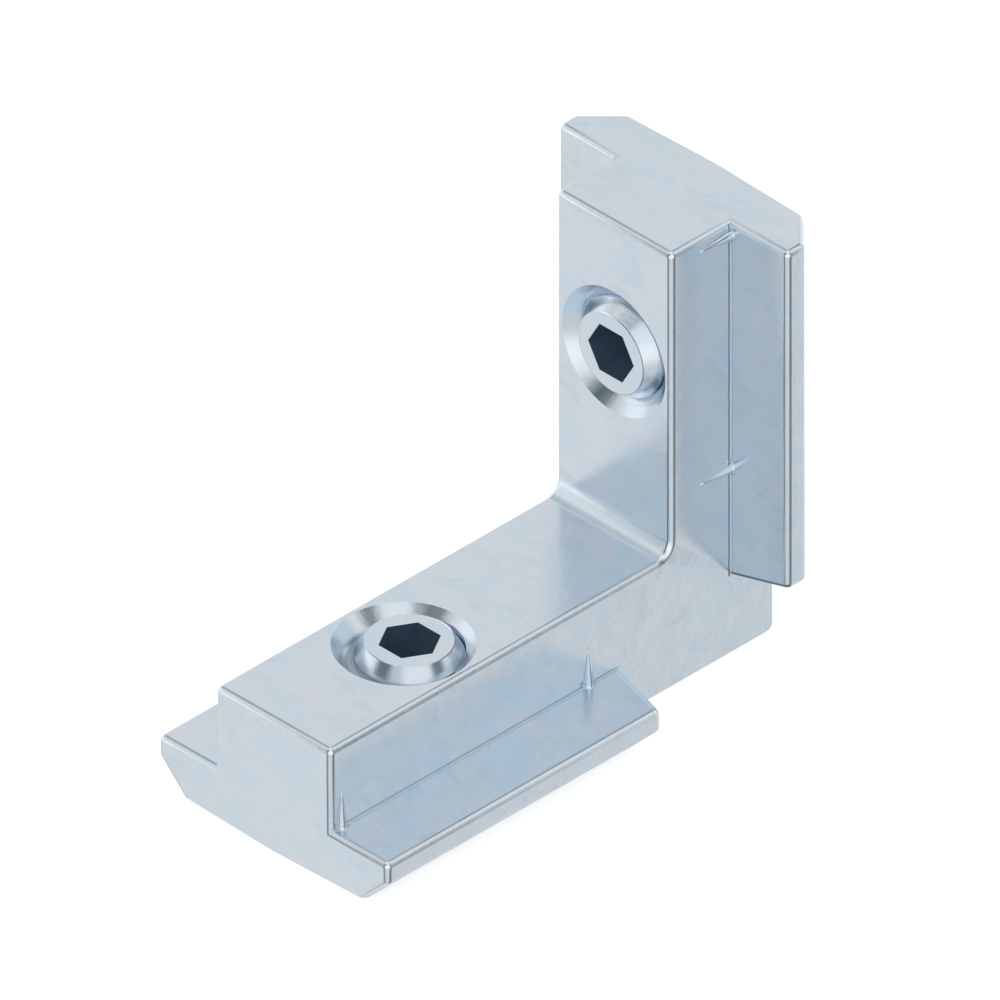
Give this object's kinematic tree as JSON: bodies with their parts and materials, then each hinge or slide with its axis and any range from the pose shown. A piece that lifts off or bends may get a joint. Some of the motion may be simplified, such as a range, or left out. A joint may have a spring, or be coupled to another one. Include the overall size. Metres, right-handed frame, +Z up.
{
  "type": "mounting bracket",
  "caption": "Cast L-shaped inner corner bracket: each leg is a T-section that slides into the slot of a framing profile and is clamped there by a hexagon socket set screw.",
  "frame": {"origin": "centre of the bracket's footprint, at the height of the ridge along the bottom of its base leg", "axes": "+X along the base leg from its free end towards the corner, +Y across the neck, +Z up the upright leg"},
  "size_m": [0.0224, 0.0116, 0.0188],
  "materials": {
    "zinc_casting": "bright zinc plated casting, semi-gloss with faint cloudy mottling",
    "steel_screw": "bright zinc plated turned steel"
  },
  "bodies": {
    "bracket": {"bracket_body": "zinc_casting"},
    "base_screw": {"base_set_screw": "steel_screw"},
    "upright_screw": {"upright_set_screw": "steel_screw"}
  },
  "joints": [
    {"name": "base_screw_travel", "type": "slide", "parent": "bracket", "child": "base_screw", "axis": [0, 0, -1], "range_m": [-0.002, 0.002]},
    {"name": "upright_screw_travel", "type": "slide", "parent": "bracket", "child": "upright_screw", "axis": [1, 0, 0], "range_m": [-0.002, 0.002]}
  ]
}
